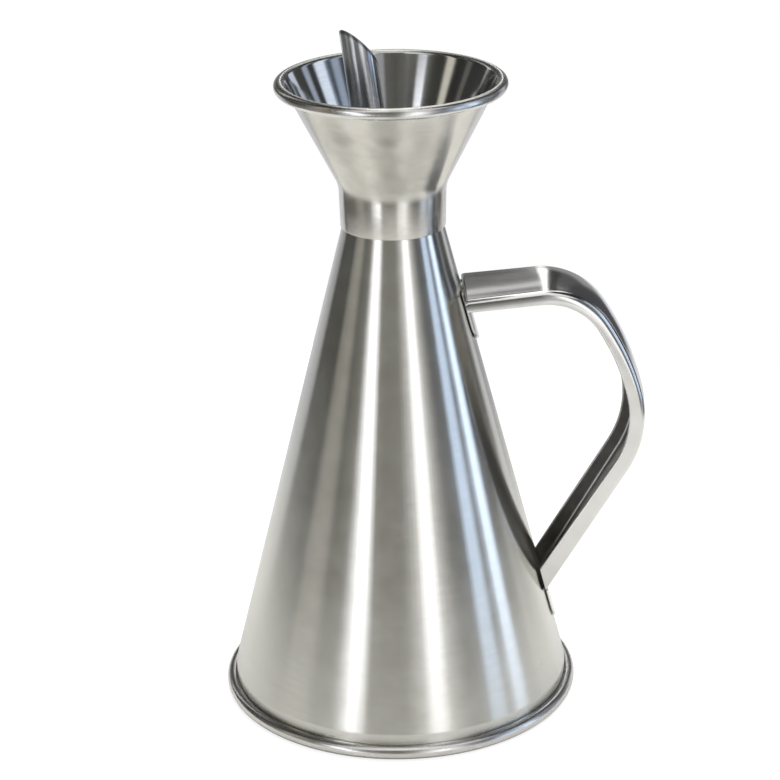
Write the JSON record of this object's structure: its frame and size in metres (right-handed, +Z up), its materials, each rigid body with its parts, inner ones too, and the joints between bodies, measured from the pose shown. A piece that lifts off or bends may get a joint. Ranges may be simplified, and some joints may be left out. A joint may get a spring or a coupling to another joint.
{
  "type": "olive oil can",
  "caption": "Conical sheet-steel oil can with a rolled base bead, a pressed strap handle, and a lift-off flared drip head with a slant-cut spout over a drained plate.",
  "frame": {"origin": "in the plane the can stands on, at the middle of its bounding box; the can's own axis is at X = -0.01264, so that the handle is balanced by the base", "axes": "+Z up, parallel to the can's axis; +X towards the handle, whose middle plane is XZ; the spout leans to the -X side, turned 42.3 degrees about Z towards -Y"},
  "size_m": [0.1584, 0.1332, 0.2585],
  "materials": {
    "cone_body": "satin stainless steel, fine brushing round the cone",
    "base_pan": "polished stainless steel on the bead, plain bright sheet underneath",
    "handle": "polished stainless steel strip",
    "funnel_cup": "satin stainless steel outside, polished inside and on the rim",
    "drip_plate": "plain stainless steel sheet",
    "spout_tube": "polished stainless steel tube"
  },
  "bodies": {
    "can": {"cone_body": "cone_body", "base_pan": "base_pan", "handle": "handle"},
    "drip_head": {"funnel_cup": "funnel_cup", "drip_plate": "drip_plate", "spout_tube": "spout_tube"}
  },
  "joints": [
    {"name": "head_lift", "type": "slide", "parent": "can", "child": "drip_head", "axis": [0, 0, 1], "range_m": [0, 0.06]}
  ]
}
